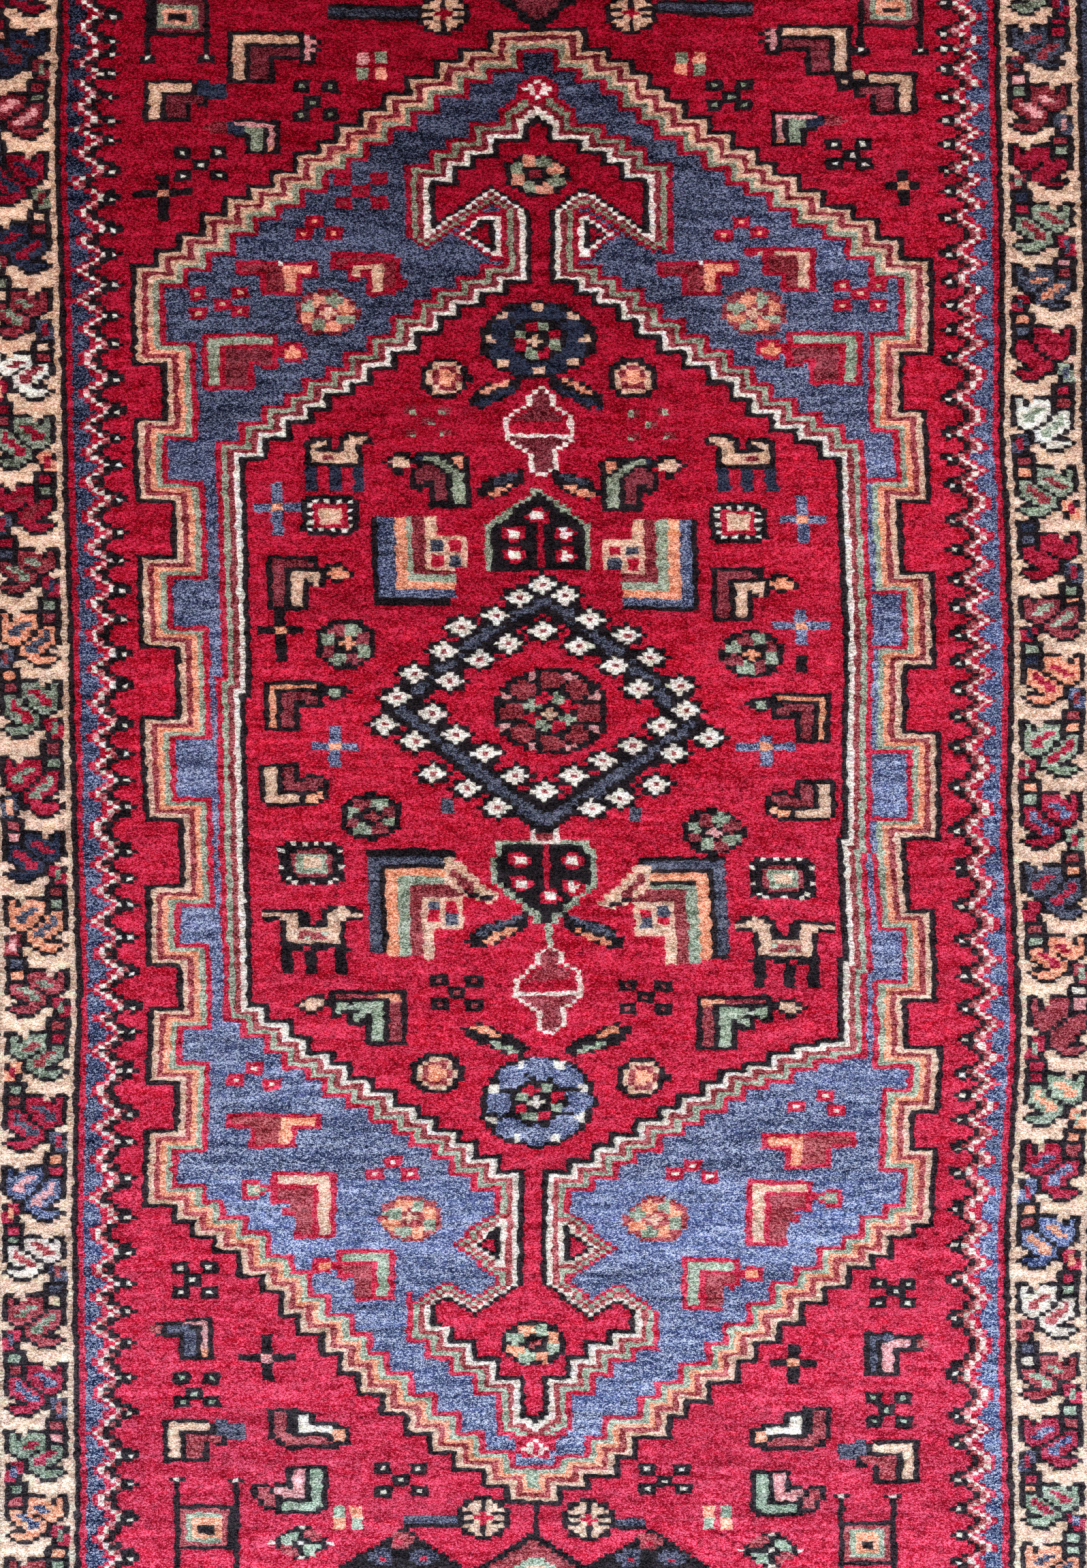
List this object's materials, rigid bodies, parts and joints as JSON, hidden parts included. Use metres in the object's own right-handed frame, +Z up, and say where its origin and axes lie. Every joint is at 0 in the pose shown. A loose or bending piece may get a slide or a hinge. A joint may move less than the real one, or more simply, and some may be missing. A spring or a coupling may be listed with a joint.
{
  "type": "anatolian rug",
  "caption": "Hand-knotted wool rug with a stepped medallion field, flat-woven ends, overcast sides and short warp fringes, lying flat.",
  "frame": {"origin": "on the floor, under the middle of the rug, fringe included", "axes": "+Y along the rug's length towards the end that is at the top of the picture, +X to the right, +Z up out of the pile"},
  "size_m": [0.773, 1.4304, 0.009],
  "materials": {
    "pile": "matt wool pile",
    "edging": "matt overcast wool",
    "warp": "undyed wool yarn"
  },
  "bodies": {
    "root": {"rug_body": "pile", "selvedge_left": "edging", "selvedge_right": "edging", "fringe_top": "warp", "fringe_bottom": "warp"}
  },
  "joints": []
}
